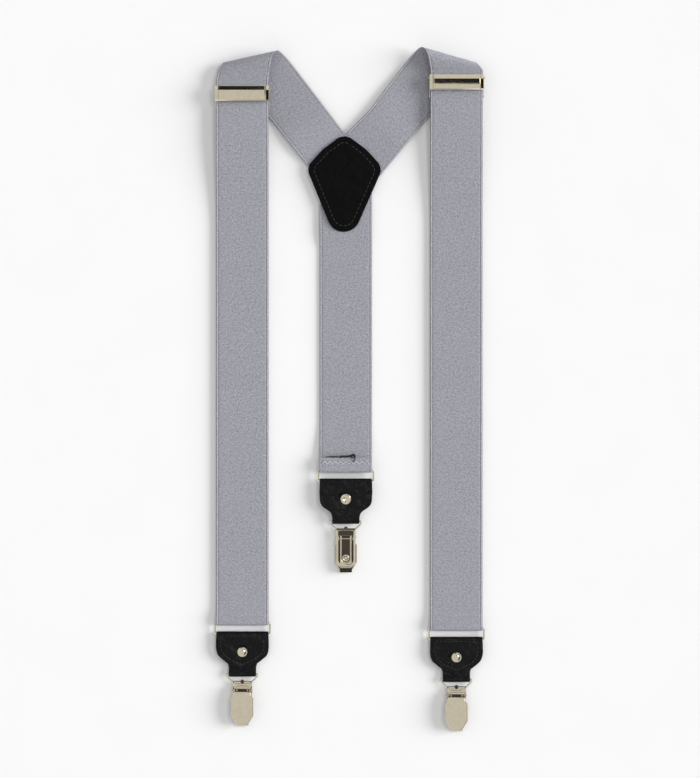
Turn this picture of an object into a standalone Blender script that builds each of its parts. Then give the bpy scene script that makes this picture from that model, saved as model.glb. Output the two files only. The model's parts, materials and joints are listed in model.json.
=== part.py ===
"""Y-back clip-on suspenders, lying flat with the wearer's front facing up.

+Z is up from the surface they lie on, +Y runs from the front clips to the shoulders, and the
origin is at the middle of the base. Every length below is in millimetres, turned into metres
by MM when a mesh is made.
"""

import math

import bmesh
import bpy
from mathutils import Vector

MM = 0.001

# Webbing: one 35 mm elastic tape, woven a little under its nominal width
STRAP_WIDTH = 34.8
STRAP_HALF = STRAP_WIDTH / 2
STRAP_THICK = 1.2
PIECE_GAP = 0.3

# Wire rings that join a strap to its leather tab
RING_WIRE = 0.6
RING_HALF = STRAP_HALF + 0.3 + RING_WIRE
RING_DROP = 7.6
STRAP_WRAP = RING_WIRE + 0.15 + STRAP_THICK / 2
LOOP_LENGTH = 14.0

# Leather tabs, measured down from the ring's upper bar
LEATHER = 1.1
TAB_WRAP = RING_WIRE + 0.1 + LEATHER / 2
TAB_HALF = 17.4
NECK_HALF = 9.1
FRONT_SHOULDER_RISE = 1.6
CLIP_BAR = 34.25
TAB_TAIL_END = 12.5
RIVET_AT = 19.5
RIVET_POST = 1.15

# Clips, measured down from the ring's upper bar; "out" is away from the wearer
SHEET = 0.4
CLIP_PIVOT = CLIP_BAR + 10.5
PIVOT_OUT = 2.2
PIN_RADIUS = 0.5
PIN_CLEARANCE = 0.1
FRAME_HALF = 6.45
WINDOW_HALF = 5.05
JAW_HALF = 4.4
EYELET_AT = CLIP_BAR + 24.5
COVER_UNDER = 3.4
COVER_TOP = 4.1

# Strap-length adjusters, measured up from the middle of the cover
COVER_HALF = 18.5
COVER_HEIGHT = 10.3
ADJUSTER_PIVOT = 2.75
ADJUSTER_PIN = 0.32
ADJUSTER_EAR = 0.65
ADJUSTER_BAR = -9.0
BAR_RADIUS = 0.6
UPPER_STRAP_START = 6.3

# Heights of the middles of the layers above the surface
RING_Z = 2.4
BACK_RING_Z = 4.15
RETURN_Z = STRAP_THICK / 2
FRONT_Z = RETURN_Z + 1.4
RAISED_RETURN_Z = 2.2
RAISED_FRONT_Z = 6.2
BAR_Z = RAISED_RETURN_Z + STRAP_WRAP
ADJUSTER_PIVOT_Z = 8.8
UNDER_Z = 0.75
YOKE_Z = 2.05
RISE_START = 105.0

# Where the pieces lie, from the middle of the work; CENTRE is the middle of its outline
CENTRE = Vector((-0.85, -0.84, 0.0))
BACK_X = -3.2
BACK_STRAP_TOP = 138.2
BACK_STRAP_END = -54.25
BACK_TAIL_END = -46.2
YOKE_NOTCH = (-3.2, 168.6)
YOKE_CENTRE_X = -4.1
YOKE_TOP = 167.6
YOKE_BOTTOM = 104.0
YOKE_SIDE_Y = 145.2
YOKE_HALF = 24.1

# For each side: the front strap's middle, the adjuster, the ring, and the two edges of the
# shoulder turn. "corner" and "apex" are where the outer and inner edges turn over, "emerges"
# is where the lower edge of the slanting strap leaves the front strap, "enters" where it
# goes under the yoke.
SIDES = {
    "left": {
        "x": -72.1,
        "sign": 1,
        "adjuster": 195.7,
        "ring": -156.05,
        "corner": (-85.0, 216.0),
        "apex": (-48.6, 223.6),
        "emerges": (-54.1, 180.1),
        "enters": (-29.0, 148.7),
        "meets": -20.95,
    },
    "right": {
        "x": 70.4,
        "sign": -1,
        "adjuster": 203.2,
        "ring": -159.65,
        "corner": (82.6, 216.3),
        "apex": (47.1, 225.9),
        "emerges": (51.7, 180.1),
        "enters": (20.6, 142.7),
        "meets": 17.2,
    },
}

ROUND_SIDES = 16
WIRE_SIDES = 8


# ---------------------------------------------------------------- scene and materials


def clear_scene():
    for item in list(bpy.data.objects):
        bpy.data.objects.remove(item, do_unlink=True)


def material(name, colour, roughness, metallic=0.0):
    made = bpy.data.materials.new(name)
    made.use_nodes = True
    shader = made.node_tree.nodes["Principled BSDF"]
    shader.inputs["Base Color"].default_value = (*colour, 1.0)
    shader.inputs["Roughness"].default_value = roughness
    shader.inputs["Metallic"].default_value = metallic
    made.diffuse_color = (*colour, 1.0)
    return made


def make_materials():
    return {
        "webbing": material("grey_elastic", (0.36, 0.36, 0.39), 0.85),
        "leather": material("black_leather", (0.012, 0.012, 0.013), 0.45),
        "nickel": material("polished_nickel", (0.72, 0.67, 0.58), 0.15, 1.0),
        "grip": material("dark_grip", (0.02, 0.018, 0.016), 0.5),
    }


# ---------------------------------------------------------------- shapes


def smoothstep(share):
    share = min(max(share, 0.0), 1.0)
    return share * share * (3 - 2 * share)


def through(points, per_span=4):
    """A Catmull-Rom curve through the points, with per_span steps between each two."""
    points = [Vector(p) for p in points]
    padded = [2 * points[0] - points[1], *points, 2 * points[-1] - points[-2]]
    curve = []
    for a, b, c, d in zip(padded, padded[1:], padded[2:], padded[3:]):
        for step in range(per_span):
            t = step / per_span
            bend = (2 * a - 5 * b + 4 * c - d) * t * t + (3 * b - a - 3 * c + d) * t**3
            curve.append(0.5 * (2 * b + (c - a) * t + bend))
    return [*curve, points[-1]]


def turn(centre, radius, start, end, steps):
    """Points on an arc about centre, with its angles in degrees."""
    angles = [math.radians(start + (end - start) * n / steps) for n in range(steps + 1)]
    return [
        (centre[0] + radius * math.cos(a), centre[1] + radius * math.sin(a))
        for a in angles
    ]


def tape(first, second, thick):
    """A flat tape between two edge curves with as many points each."""
    first = [Vector(p) for p in first]
    second = [Vector(p) for p in second]
    middles = [(a + b) / 2 for a, b in zip(first, second)]
    corners = []
    last = len(middles) - 1
    for n, (a, b) in enumerate(zip(first, second)):
        along = middles[min(n + 1, last)] - middles[max(n - 1, 0)]
        lift = along.cross(b - a).normalized() * thick / 2
        corners += [a + lift, b + lift, b - lift, a - lift]
    faces = [(0, 1, 2, 3), tuple(4 * last + n for n in range(4))]
    for n in range(last):
        for side in range(4):
            near, far = 4 * n, 4 * n + 4
            after = (side + 1) % 4
            faces.append((near + side, near + after, far + after, far + side))
    return corners, faces


def prism(outline, low, high, along="w"):
    """The outline drawn out from low to high, along w, or along x from a (v, w) outline."""
    if along == "w":
        corners = [(a, b, level) for level in (low, high) for a, b in outline]
    else:
        corners = [(level, a, b) for level in (low, high) for a, b in outline]
    return corners, joined_rims(2, len(outline))


def stack(outlines):
    """Outlines of as many points each, at their own levels, skinned into one solid."""
    corners = [(a, b, level) for level, outline in outlines for a, b in outline]
    return corners, joined_rims(len(outlines), len(outlines[0][1]))


def joined_rims(rims, count):
    faces = [tuple(range(count)), tuple((rims - 1) * count + n for n in range(count))]
    for rim in range(rims - 1):
        for n in range(count):
            after = (n + 1) % count
            near, far = rim * count, (rim + 1) * count
            faces.append((near + n, near + after, far + after, far + n))
    return faces


def turned(profile, centre, axis="w", sides=ROUND_SIDES):
    """A (radius, level) profile turned round an axis along w or x, through centre."""
    rims = []
    for radius, level in profile:
        for n in range(sides):
            angle = 2 * math.pi * n / sides
            a = centre[0] + radius * math.cos(angle)
            b = centre[1] + radius * math.sin(angle)
            rims.append((a, b, level) if axis == "w" else (level, a, b))
    return rims, joined_rims(len(profile), sides)


def pierced(profile, centre, sides=ROUND_SIDES):
    """A closed (radius, level) profile turned round an axis along w, open in the middle."""
    corners, _ = turned(profile, centre, sides=sides)
    faces = []
    for rim in range(len(profile)):
        for n in range(sides):
            after = (n + 1) % sides
            near, far = rim * sides, (rim + 1) % len(profile) * sides
            faces.append((near + n, near + after, far + after, far + n))
    return corners, faces


def wire_loop(points, radius, sides=WIRE_SIDES):
    """A closed wire through points in the x, v plane."""
    corners, faces = [], []
    count = len(points)
    for n, here in enumerate(points):
        before = Vector((*points[n - 1], 0))
        after = Vector((*points[(n + 1) % count], 0))
        here = Vector((*here, 0))
        across = ((here - before).normalized() + (after - here).normalized()).cross(
            Vector((0, 0, 1))
        )
        across.normalize()
        for side in range(sides):
            angle = 2 * math.pi * side / sides
            out = across * math.cos(angle) + Vector((0, 0, 1)) * math.sin(angle)
            corners.append(here + out * radius)
            near, far = n * sides + side, (n + 1) % count * sides + side
            step = 1 if side < sides - 1 else 1 - sides
            faces.append((near, near + step, far + step, far))
    return corners, faces


def rounded_box(half_x, top, bottom, radius, steps=3):
    """A rectangle's outline in the x, v plane, with round corners."""
    outline = []
    for x, v, start in (
        (half_x - radius, bottom - radius, 0),
        (radius - half_x, bottom - radius, 90),
        (radius - half_x, top + radius, 180),
        (half_x - radius, top + radius, 270),
    ):
        outline += turn((x, v), radius, start, start + 90, steps)
    return outline


# ---------------------------------------------------------------- objects


def as_is(corner):
    return Vector(corner)


def add(name, shape, place, look, joint=None):
    """An object from a shape's corners, put in place and hung on its joint's empty."""
    corners, faces = shape
    mesh = bpy.data.meshes.new(name)
    mesh.from_pydata([(place(corner) - CENTRE) * MM for corner in corners], [], faces)
    cleaned = bmesh.new()
    cleaned.from_mesh(mesh)
    bmesh.ops.recalc_face_normals(cleaned, faces=cleaned.faces)
    cleaned.to_mesh(mesh)
    cleaned.free()
    mesh.shade_smooth()
    mesh.set_sharp_from_angle(angle=math.radians(35))
    made = bpy.data.objects.new(name, mesh)
    bpy.context.collection.objects.link(made)
    if look:
        mesh.materials.append(look)
    if joint:
        made.parent = joint
        made.matrix_parent_inverse = joint.matrix_world.inverted()
    return made


def change(target, operation, shape, place):
    """Adds a Boolean of the shape to the target; the shape itself stays hidden."""
    helper = add(f"{target.name}_{operation.lower()}", shape, place, None, target.parent)
    helper.hide_render = True
    helper.display_type = "WIRE"
    modifier = target.modifiers.new(operation.title(), "BOOLEAN")
    modifier.operation = operation
    modifier.solver = "EXACT"
    modifier.object = helper


def joint_empty(name, place, corner, parent=None):
    """An empty on a joint's axis, which the pieces that the joint moves hang from."""
    empty = bpy.data.objects.new(name, None)
    empty.empty_display_size = 10 * MM
    bpy.context.collection.objects.link(empty)
    empty.location = (place(corner) - CENTRE) * MM
    bpy.context.view_layer.update()
    if parent:
        empty.parent = parent
        empty.matrix_parent_inverse = parent.matrix_world.inverted()
        bpy.context.view_layer.update()
    return empty


# ---------------------------------------------------------------- straps


def level_tape(centre_x, path):
    """Webbing whose edges are level, along a path of (y, z) points."""
    first = [(centre_x - STRAP_HALF, y, z) for y, z in path]
    second = [(centre_x + STRAP_HALF, y, z) for y, z in path]
    return tape(first, second, STRAP_THICK)


def rise(y, low, high, bar_y):
    """A layer's height as it climbs over the slanting strap to the adjuster."""
    return low + (high - low) * smoothstep((y - RISE_START) / (bar_y - 13.0 - RISE_START))


def shoulder_strap(name, side, look):
    """From the adjuster up, over the shoulder turn and down the slant to the yoke."""
    x, sign = side["x"], side["sign"]
    start = side["adjuster"] + UPPER_STRAP_START
    corner, apex = Vector(side["corner"]), Vector(side["apex"])
    emerges, enters = Vector(side["emerges"]), Vector(side["enters"])
    slant = (enters - emerges).normalized()
    behind = emerges - slant * 30.0
    outer = [
        (x - sign * STRAP_HALF, start, RAISED_FRONT_Z),
        (corner.x - sign * 2.9, start + (corner.y - start) * 0.6, RAISED_FRONT_Z - 0.2),
        (corner.x, corner.y, 4.1),
        (corner.x + sign * 2.0, corner.y - 1.9, 1.3),
        (behind.x, behind.y, UNDER_Z),
        (*emerges, UNDER_Z),
        (*((emerges + enters) / 2), UNDER_Z + 2.2),
        (*enters, YOKE_Z),
    ]
    inner = [
        (x + sign * STRAP_HALF, start, RAISED_FRONT_Z),
        (apex.x - sign * 3.6, apex.y - 4.4, 12.0),
        (apex.x, apex.y, 9.4),
        (apex.x + sign * 4.0, apex.y - 2.0, 5.2),
        (apex.x + sign * 10.0, apex.y - 8.6, 2.0),
        (apex.x + sign * 21.0, apex.y - 23.0, 2.6),
        (apex.x + sign * 34.0, apex.y - 40.0, UNDER_Z + 2.2),
        (YOKE_NOTCH[0] - sign * 2.5, YOKE_NOTCH[1] + 3.3, YOKE_Z),
    ]
    seam_x = YOKE_NOTCH[0] - sign * PIECE_GAP / 2
    meets_y = BACK_STRAP_TOP + PIECE_GAP
    outer = [*through(outer), (side["meets"], meets_y, YOKE_Z), (seam_x, meets_y, YOKE_Z)]
    notch = (seam_x, YOKE_NOTCH[1], YOKE_Z)
    between = (seam_x - sign * 1.0, YOKE_NOTCH[1] + 1.3, YOKE_Z)
    inner = [*through(inner), between, notch]
    add(name, tape(outer, inner, STRAP_THICK), as_is, look)


def front_strap_pieces(name, side, look, joint):
    """The doubled strap below the adjuster: front layer, return layer, and the ring loop."""
    x, ring_y = side["x"], side["ring"]
    bar_y = side["adjuster"] + ADJUSTER_BAR
    low = ring_y + LOOP_LENGTH
    steps = 24
    top = side["adjuster"] + UPPER_STRAP_START - PIECE_GAP
    front = []
    for n in range(steps + 1):
        y = low + PIECE_GAP + (top - low - PIECE_GAP) * n / steps
        front.append((y, rise(y, FRONT_Z, RAISED_FRONT_Z, bar_y)))
    add(f"{name}_front_strap", level_tape(x, front), as_is, look, joint)

    back = []
    for n in range(steps + 1):
        y = low + PIECE_GAP + (bar_y - low - PIECE_GAP) * n / steps
        back.append((y, rise(y, RETURN_Z, RAISED_RETURN_Z, bar_y)))
    back += turn((bar_y, BAR_Z), STRAP_WRAP, -90, 90, 8)[1:]
    back.append((bar_y - 10.0, BAR_Z + STRAP_WRAP))
    add(f"{name}_return_strap", level_tape(x, back), as_is, look, joint)

    loop = [(low, FRONT_Z), (low - 5.0, FRONT_Z + 0.35), (ring_y + 3.0, RING_Z + STRAP_WRAP)]
    loop += turn((ring_y, RING_Z), STRAP_WRAP, 90, 270, 8)
    loop += [(ring_y + 5.0, RETURN_Z + 0.2), (low, RETURN_Z)]
    add(f"{name}_strap_loop", level_tape(x, loop), as_is, look, joint)


def back_strap(look):
    """From the yoke down to the back ring, round its bar and stitched to itself in front."""
    path = []
    steps = 20
    settled = 92.0
    lifts = -20.0
    lower_z = BACK_RING_Z - STRAP_WRAP
    for n in range(steps + 1):
        y = BACK_STRAP_TOP + (BACK_STRAP_END - BACK_STRAP_TOP) * n / steps
        z = RETURN_Z + (YOKE_Z - RETURN_Z) * smoothstep((y - settled) / 12.0)
        z += (lower_z - RETURN_Z) * smoothstep((lifts - y) / (lifts - BACK_STRAP_END))
        path.append((y, z))
    path += turn((BACK_STRAP_END, BACK_RING_Z), STRAP_WRAP, 270, 90, 8)[1:]
    path.append((BACK_TAIL_END, BACK_RING_Z + STRAP_WRAP - 0.6))
    add("back_strap", level_tape(BACK_X, path), as_is, look)


def round_hull(circles, steps=6):
    """The outline stretched round circles, each an (x, y, radius), listed anticlockwise."""
    normals = []
    for (x, y, radius), (next_x, next_y, next_radius) in zip(
        circles, circles[1:] + circles[:1]
    ):
        span = math.hypot(next_x - x, next_y - y)
        heading = math.degrees(math.atan2(next_y - y, next_x - x))
        lean = math.degrees(math.asin((radius - next_radius) / span))
        normals.append(heading - 90.0 + lean)
    outline = []
    for (x, y, radius), start, end in zip(circles, normals[-1:] + normals[:-1], normals):
        sweep = (end - start) % 360.0
        outline += turn((x, y), radius, start, start + sweep, steps)
    return outline


def yoke_outline():
    """A kite with round corners, a bowed top and straight lower flanks."""
    top, bow, side, bottom = 8.5, 7.0, 8.0, 11.0
    bow_x, bow_y = 9.9, 153.6
    side_x = YOKE_HALF - side
    circles = [
        (YOKE_CENTRE_X, YOKE_TOP - top, top),
        (YOKE_CENTRE_X - bow_x, bow_y, bow),
        (YOKE_CENTRE_X - side_x, YOKE_SIDE_Y, side),
        (YOKE_CENTRE_X - 0.5, YOKE_BOTTOM + bottom, bottom),
        (YOKE_CENTRE_X + side_x, YOKE_SIDE_Y, side),
        (YOKE_CENTRE_X + bow_x, bow_y, bow),
    ]
    return round_hull(circles)


def yoke(look):
    """Two leather faces with the three straps stitched between them."""
    half_gap = STRAP_THICK / 2 + PIECE_GAP
    outline = yoke_outline()
    front = prism(outline, YOKE_Z + half_gap, YOKE_Z + half_gap + LEATHER)
    back = prism(outline, YOKE_Z - half_gap - LEATHER, YOKE_Z - half_gap)
    add("yoke_patch_front", front, as_is, look)
    add("yoke_patch_back", back, as_is, look)


# ---------------------------------------------------------------- strap ends


def ring(name, place, look, joint):
    outline = rounded_box(RING_HALF, 0.0, RING_DROP, 1.2)
    add(f"{name}_ring", wire_loop(outline, RING_WIRE), place, look, joint)


def tab(name, place, looks, joint):
    """One leather strip: shield, round the ring, back, neck, round the clip, tail inside."""
    raised = 0.0 if name == "back" else FRONT_SHOULDER_RISE
    half_and_place = [
        (0.6, 31.2, TAB_WRAP),
        (4.4, 29.6, TAB_WRAP),
        (7.7, 28.2, TAB_WRAP),
        (10.5, 26.6, TAB_WRAP),
        (13.2, 24.6, TAB_WRAP),
        (15.8, 22.0, TAB_WRAP),
        (17.1, 19.2, TAB_WRAP),
        (17.6, 15.8, TAB_WRAP),
        (17.5, 11.0, TAB_WRAP),
    ]
    for v, w in turn((RING_DROP, 0.0), TAB_WRAP, 90, 270, 8):
        half_and_place.append((17.35, v, w))
    for half, v in (
        (TAB_HALF, 14.0),
        (TAB_HALF, 20.0),
        (16.9, 22.5),
        (15.3, 24.5),
        (12.6, 26.5),
        (10.4, 28.3),
        (9.3, 30.3),
    ):
        half_and_place.append((half, v - raised, -TAB_WRAP))
    for v, w in turn((CLIP_BAR, 0.0), TAB_WRAP, -90, 90, 8):
        half_and_place.append((NECK_HALF, v, w))
    for v, w in ((33.2, 0.95), (32.2, 0.35), (31.0, 0.0), (TAB_TAIL_END, 0.0)):
        half_and_place.append((NECK_HALF, v, w))
    first = [(-half, v, w) for half, v, w in half_and_place]
    second = [(half, v, w) for half, v, w in half_and_place]
    leather = add(f"{name}_tab", tape(first, second, LEATHER), place, looks["leather"], joint)
    bore = turned([(RIVET_POST + 0.15, -4.0), (RIVET_POST + 0.15, 4.0)], (0.0, RIVET_AT))
    change(leather, "DIFFERENCE", bore, place)

    face = TAB_WRAP + LEATHER / 2 + 0.05
    cap = [
        (RIVET_POST, -face - 0.45),
        (RIVET_POST, face),
        (3.3, face),
        (3.3, face + 0.35),
        (2.6, face + 1.0),
        (1.3, face + 1.35),
        (0.4, face + 1.4),
    ]
    add(f"{name}_rivet_cap", turned(cap, (0.0, RIVET_AT)), place, looks["nickel"], joint)
    base = [
        (RIVET_POST + 0.1, -face),
        (3.5, -face),
        (3.5, -face - 0.25),
        (3.2, -face - 0.5),
        (RIVET_POST + 0.1, -face - 0.5),
    ]
    add(f"{name}_rivet_base", pierced(base, (0.0, RIVET_AT)), place, looks["nickel"], joint)


def below_bar(points):
    """Points given down from the clip's loop bar, as points down from the ring."""
    return [(x, CLIP_BAR + v) for x, v in points]


def mirrored(points):
    """A half outline at +x, with its other half added."""
    return [*points, *[(-x, v) for x, v in reversed(points)]]


def clip_frame(name, place, look, joint):
    """A stamped back frame: the neck loop, an open window, and two ears for the pin."""
    outer = [(10.3, -0.45), (10.3, 1.9), (6.9, 5.5), (FRAME_HALF, 6.6), (FRAME_HALF, 27.2)]
    outer = mirrored(below_bar([*outer, (3.7, 30.5)]))
    made = add(f"{name}_clip_frame", prism(outer, -SHEET, SHEET), place, look, joint)
    mouth = mirrored(below_bar([(9.5, 0.45), (9.5, 1.95), (6.1, 4.8)]))
    change(made, "DIFFERENCE", prism(mouth, -2.0, 2.0), place)
    window = mirrored(below_bar([(WINDOW_HALF, 8.6), (WINDOW_HALF, 26.6), (3.2, 28.4)]))
    change(made, "DIFFERENCE", prism(window, -2.0, 2.0), place)
    ear = [(CLIP_PIVOT - 2.4, 0.0), (CLIP_PIVOT + 2.4, 0.0)]
    ear += turn((CLIP_PIVOT, PIVOT_OUT), 1.1, 0, 180, 8)
    for inner_x in (5.65, -6.25):
        change(made, "UNION", prism(ear, inner_x, inner_x + 0.6, "x"), place)
    hole = PIN_RADIUS + PIN_CLEARANCE
    bore = turned([(hole, -8.0), (hole, 8.0)], (CLIP_PIVOT, PIVOT_OUT), "x")
    change(made, "DIFFERENCE", bore, place)


def clip_pin(name, place, look, joint):
    length = 6.5
    profile = [(0.3, -length - 0.25), (PIN_RADIUS, -length), (PIN_RADIUS, length)]
    profile.append((0.3, length + 0.25))
    pin = turned(profile, (CLIP_PIVOT, PIVOT_OUT), "x")
    add(f"{name}_clip_pin", pin, place, look, joint)


def jaw(name, place, looks, joint):
    """The inner jaw: a channel with a slot, hung on the pin, with an eyelet and a grip."""
    floor_low, floor_high = 0.7, 1.4
    tongue = below_bar([(JAW_HALF, 9.9), (JAW_HALF, 30.0), (4.0, 34.2)])
    made = add(
        f"{name}_clip_jaw",
        prism(mirrored(tongue), floor_low, floor_high),
        place,
        looks["nickel"],
        joint,
    )
    lug = [(CLIP_PIVOT - 0.6, 0.9), (CLIP_PIVOT + 2.0, 0.9)]
    lug += turn((CLIP_PIVOT, PIVOT_OUT), 0.95, 0, 180, 8)
    for low_x in (3.7, -JAW_HALF):
        change(made, "UNION", prism(lug, low_x, low_x + 0.7, "x"), place)
        rail = [(CLIP_BAR + 11.5, -0.3), (CLIP_BAR + 27.0, -0.3)]
        rail += [(CLIP_BAR + 27.6, 0.9), (CLIP_BAR + 11.0, 0.9)]
        change(made, "UNION", prism(rail, low_x, low_x + 0.7, "x"), place)
    slot = mirrored(below_bar([(2.15, 8.0), (2.15, 20.7)]))
    change(made, "DIFFERENCE", prism(slot, -1.0, 2.0), place)
    hole = PIN_RADIUS + PIN_CLEARANCE
    bore = turned([(hole, -8.0), (hole, 8.0)], (CLIP_PIVOT, PIVOT_OUT), "x")
    change(made, "DIFFERENCE", bore, place)
    seat = turned([(2.15, -1.0), (2.15, 2.5)], (0.0, EYELET_AT))
    change(made, "DIFFERENCE", seat, place)

    eyelet = [(1.6, 0.15), (3.0, 0.3), (3.0, 0.6), (2.0, 0.62), (2.0, 1.48)]
    eyelet += [(2.6, 1.5), (2.6, 1.8), (1.6, 1.9)]
    shape = pierced(eyelet, (0.0, EYELET_AT))
    add(f"{name}_jaw_eyelet", shape, place, looks["nickel"], joint)

    teeth = 5
    low, high = CLIP_BAR + 30.85, CLIP_BAR + 34.0
    outline = [(4.0, high)]
    for n in range(teeth):
        here = 4.0 - 8.0 * n / teeth
        outline += [(here, low + 0.6), (here - 4.0 / teeth, low)]
    outline += [(-4.0, low + 0.6), (-4.0, high)]
    grip = prism(outline, -0.5, floor_low - 0.1)
    add(f"{name}_jaw_grip", grip, place, looks["grip"], joint)


def lever_outline(inset):
    """The lever cover's outline, drawn in by inset for its bevelled rim."""
    half = 7.35 - inset
    tip = 3.05 - inset / 2
    neck = min(half, 5.4)
    points = [(neck, 12.0 + inset / 2), (neck, 14.2 + inset / 2), (half, 15.4 + inset / 2)]
    points += [(half, 27.4 - inset / 2), (tip, 34.3 - inset)]
    return mirrored(below_bar(points))


def lever(name, place, look, joint):
    """The front cover, bevelled round its rim, with two lugs that turn on the pin."""
    shell = stack(
        [
            (1.9, lever_outline(0.0)),
            (2.6, lever_outline(0.0)),
            (COVER_TOP, lever_outline(1.6)),
        ]
    )
    made = add(f"{name}_clip_lever", shell, place, look, joint)
    hollow = stack([(1.0, lever_outline(0.7)), (COVER_UNDER, lever_outline(2.0))])
    change(made, "DIFFERENCE", hollow, place)
    lug = [(CLIP_PIVOT + 0.2, PIVOT_OUT - 1.0), (CLIP_PIVOT + 2.2, PIVOT_OUT - 0.1)]
    lug += [(CLIP_PIVOT + 4.2, PIVOT_OUT + 0.2), (CLIP_PIVOT + 4.2, COVER_TOP - 0.3)]
    lug += [(CLIP_PIVOT + 1.0, COVER_TOP - 0.6)]
    lug += turn((CLIP_PIVOT, PIVOT_OUT), 1.0, 90, 270, 6)
    for low_x in (4.75, -5.4):
        change(made, "UNION", prism(lug, low_x, low_x + 0.65, "x"), place)
    hole = PIN_RADIUS + PIN_CLEARANCE
    bore = turned([(hole, -8.0), (hole, 8.0)], (CLIP_PIVOT, PIVOT_OUT), "x")
    change(made, "DIFFERENCE", bore, place)


def strap_end(name, centre_x, ring_y, ring_z, facing, looks, parent=None):
    """Ring, leather tab and clip; facing is 1 with the lever up and -1 with it down."""

    def place(corner):
        x, v, w = corner
        return Vector((centre_x + facing * x, ring_y - v, ring_z + facing * w))

    ring_joint = joint_empty(f"{name}_ring_joint", place, (0, 0, 0), parent)
    ring(name, place, looks["nickel"], ring_joint)
    tab_joint = joint_empty(f"{name}_tab_joint", place, (0, RING_DROP, 0), ring_joint)
    tab(name, place, looks, tab_joint)
    clip_joint = joint_empty(f"{name}_clip_joint", place, (0, CLIP_BAR, 0), tab_joint)
    clip_frame(name, place, looks["nickel"], clip_joint)
    clip_pin(name, place, looks["nickel"], clip_joint)
    pivot = (0, CLIP_PIVOT, PIVOT_OUT)
    jaw_joint = joint_empty(f"{name}_jaw_joint", place, pivot, clip_joint)
    jaw(name, place, looks, jaw_joint)
    lever_joint = joint_empty(f"{name}_lever_joint", place, pivot, clip_joint)
    lever(name, place, looks["nickel"], lever_joint)


# ---------------------------------------------------------------- adjusters


def adjuster(name, side, look):
    """A clamp slide: back frame, bar for the strap's end, and a hinged front cover."""

    def place(corner):
        x, t, z = corner
        return Vector((side["x"] + x, side["adjuster"] + t, z))

    pivot = (ADJUSTER_PIVOT, ADJUSTER_PIVOT_Z)
    slide = joint_empty(f"{name}_adjuster_slide", place, (0, 0, RAISED_FRONT_Z))
    plate_high = RAISED_FRONT_Z - STRAP_THICK / 2 - 0.3
    plate = [(-1.6, plate_high - 0.6), (4.6, plate_high - 0.6)]
    plate += [(4.6, plate_high), (-1.6, plate_high)]
    arm_in, arm_out = STRAP_HALF + 0.25, STRAP_HALF + 0.65
    frame = add(
        f"{name}_adjuster_frame", prism(plate, -arm_out, arm_out, "x"), place, look, slide
    )
    arm = [(3.9, plate_high - 0.6), (3.9, plate_high)]
    arm += turn(pivot, ADJUSTER_EAR, 0, 180, 6)
    arm += [(1.6, 6.6), (-1.6, plate_high)]
    arm += turn((ADJUSTER_BAR, BAR_Z), 1.1, 90, 270, 6)
    arm.append((-2.0, plate_high - 1.2))
    for low_x in (arm_in, -arm_out):
        change(frame, "UNION", prism(arm, low_x, low_x + arm_out - arm_in, "x"), place)
    hole = ADJUSTER_PIN + PIN_CLEARANCE
    change(frame, "DIFFERENCE", turned([(hole, -21.0), (hole, 21.0)], pivot, "x"), place)
    hole = BAR_RADIUS + PIN_CLEARANCE
    bar_axis = (ADJUSTER_BAR, BAR_Z)
    change(frame, "DIFFERENCE", turned([(hole, -21.0), (hole, 21.0)], bar_axis, "x"), place)

    bar_end = arm_out + 0.2
    bar = turned([(BAR_RADIUS, -bar_end), (BAR_RADIUS, bar_end)], bar_axis, "x")
    add(f"{name}_adjuster_bar", bar, place, look, slide)

    head, head_end = COVER_HALF + 0.1, COVER_HALF + 0.5
    pin = [(0.75, -head_end), (0.75, -head), (ADJUSTER_PIN, -head)]
    pin += [(ADJUSTER_PIN, head), (0.75, head), (0.75, head_end)]
    add(f"{name}_adjuster_pin", turned(pin, pivot, "x"), place, look, slide)

    hinge = joint_empty(f"{name}_adjuster_cover_joint", place, (0, *pivot), slide)
    half = COVER_HEIGHT / 2
    profile = [(-half, 9.5), (-half + 0.9, 10.6), (2.5, 10.6), (half - 0.5, 9.05)]
    profile += [(4.2, 8.7), (2.3, 10.05), (-half + 1.1, 10.05), (-half + 0.5, 9.3)]
    cover = add(
        f"{name}_adjuster_cover",
        prism(profile, -COVER_HALF, COVER_HALF, "x"),
        place,
        look,
        hinge,
    )
    cheek = [(-half + 0.9, 10.6), (2.5, 10.6), (half - 0.5, 9.05), (half - 0.85, 8.0)]
    cheek += [(ADJUSTER_PIVOT, 7.4), (1.4, 7.6), (-half + 1.6, 9.0)]
    cheek_in = arm_out + 0.12
    for low_x in (cheek_in, -COVER_HALF):
        thick = COVER_HALF - cheek_in
        change(cover, "UNION", prism(cheek, low_x, low_x + thick, "x"), place)
    # The flange beyond the pin is notched where it swings down past the frame's arms
    notch = [(ADJUSTER_PIVOT + 0.45, 7.0), (half + 1.0, 7.0)]
    notch += [(half + 1.0, 11.0), (ADJUSTER_PIVOT + 0.45, 11.0)]
    for low_x in (arm_in - 0.2, -cheek_in):
        width = cheek_in - arm_in + 0.2
        change(cover, "DIFFERENCE", prism(notch, low_x, low_x + width, "x"), place)
    hole = ADJUSTER_PIN + PIN_CLEARANCE
    change(cover, "DIFFERENCE", turned([(hole, -21.0), (hole, 21.0)], pivot, "x"), place)
    return slide


# ---------------------------------------------------------------- whole object


def build():
    clear_scene()
    looks = make_materials()
    yoke(looks["leather"])
    back_strap(looks["webbing"])
    strap_end("back", BACK_X, BACK_STRAP_END, BACK_RING_Z, -1, looks)
    for name, side in SIDES.items():
        shoulder_strap(f"{name}_shoulder_strap", side, looks["webbing"])
        slide = adjuster(name, side, looks["nickel"])

        def ring_place(corner, side=side):
            return Vector((side["x"], side["ring"], RING_Z)) + Vector(corner)

        loop = joint_empty(f"{name}_loop_slide", ring_place, (0, 0, 0), slide)
        front_strap_pieces(name, side, looks["webbing"], loop)
        strap_end(name, side["x"], side["ring"], RING_Z, 1, looks, loop)


build()
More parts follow.
